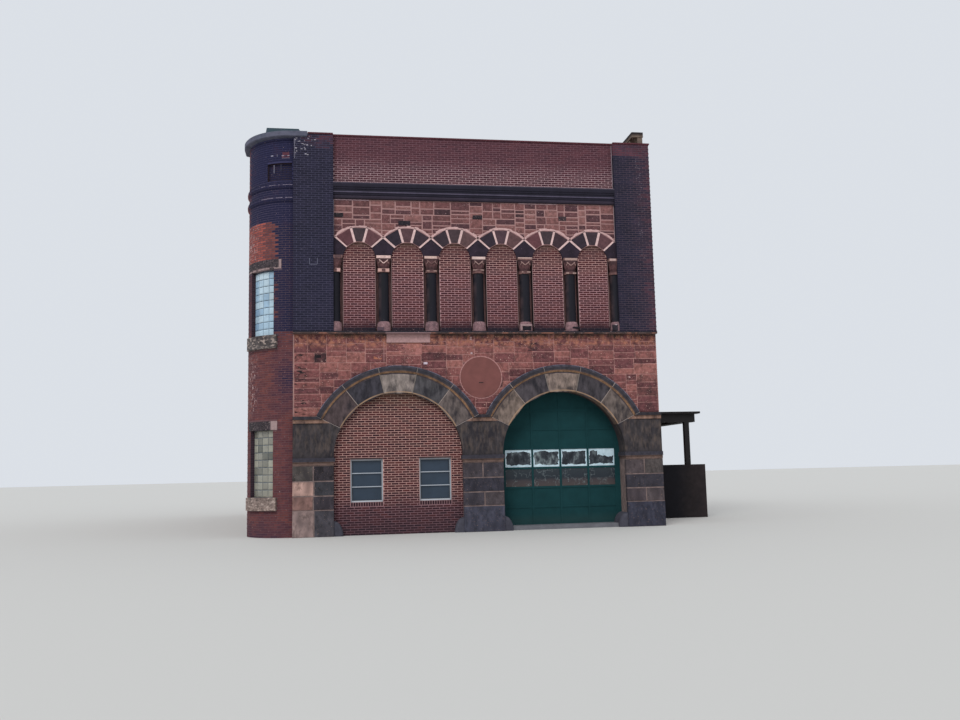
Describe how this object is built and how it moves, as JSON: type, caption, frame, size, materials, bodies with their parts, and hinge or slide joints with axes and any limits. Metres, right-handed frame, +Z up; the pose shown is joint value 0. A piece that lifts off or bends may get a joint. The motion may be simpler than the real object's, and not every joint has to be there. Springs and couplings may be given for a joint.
{
  "type": "fire station building",
  "caption": "Two-storey brick and stone fire station with big round arches, an arcade of columns, a round corner and a flat roof behind a parapet.",
  "frame": {"origin": "on the ground under the middle pier, in the plane of the front's stone face", "axes": "+X to the right along the front, +Y to the back of the building, +Z up"},
  "size_m": [15.445, 17.295, 12.505],
  "materials": {
    "concrete": "cast, rough",
    "floor_boards": "worn",
    "roof_gravel": "loose gravel on felt",
    "pier_stone": "dressed, weathered and sooty",
    "hood_stone": "moulded, weathered",
    "sandstone": "red sandstone in random squared blocks",
    "medallion_stone": "smooth red sandstone",
    "ledge_stone": "weathered",
    "infill_brick": "red brick with pale pink joints",
    "window_aluminium": "mill finish",
    "window_glass": "clear",
    "door_green": "dark green enamel",
    "door_glass": "clear",
    "voussoir_stone": "dark, rock faced",
    "shaft_stone": "dark, once polished",
    "base_stone": "light pink sandstone",
    "capital_stone": "carved sandstone",
    "soot_brick": "brick black with soot",
    "band_stone": "dark moulded stone",
    "parapet_brick": "red brown brick",
    "corner_brick": "red brick with soot",
    "rock_stone": "rock faced",
    "glass_block": "pressed glass blocks",
    "copper": "green patina",
    "side_brick": "red brick",
    "coping_stone": "red brown, weathered",
    "chimney_brick": "dark brick",
    "canopy_metal": "dark paint"
  },
  "bodies": {
    "root": {"arcade_infill": "infill_brick", "arcade_ledge": "ledge_stone", "arcade_shafts": "shaft_stone", "arcade_voussoirs": "voussoir_stone", "arch_ring_left": "pier_stone", "arch_ring_right": "pier_stone", "chimney": "chimney_brick", "column_bases": "base_stone", "column_capitals": "capital_stone", "corner_cornice": "copper", "corner_lintels": "rock_stone", "corner_sills": "rock_stone", "corner_wall": "corner_brick", "corner_windows": "glass_block", "cornice_cap": "copper", "engine_door": "door_green", "engine_door_glass": "door_glass", "floor_slab": "concrete", "front_lower_wall": "sandstone", "front_parapet": "parapet_brick", "front_upper_wall": "sandstone", "hood_moulds": "hood_stone", "infill_wall": "infill_brick", "infill_window_frames": "window_aluminium", "infill_window_glass": "window_glass", "left_side_wall": "side_brick", "medallion": "medallion_stone", "parapet_coping": "coping_stone", "pier_left": "pier_stone", "pier_middle": "pier_stone", "pier_right": "pier_stone", "pilasters": "soot_brick", "rear_wall": "side_brick", "right_side_wall": "side_brick", "roof_deck": "roof_gravel", "side_canopy": "canopy_metal", "side_dock": "concrete", "side_lintels": "rock_stone", "side_sills": "rock_stone", "side_window_frames": "window_aluminium", "side_window_glass": "window_glass", "skewback_stones": "pier_stone", "springer_blocks": "voussoir_stone", "string_course": "band_stone", "upper_floor": "floor_boards", "wheel_guards": "pier_stone"}
  },
  "joints": []
}
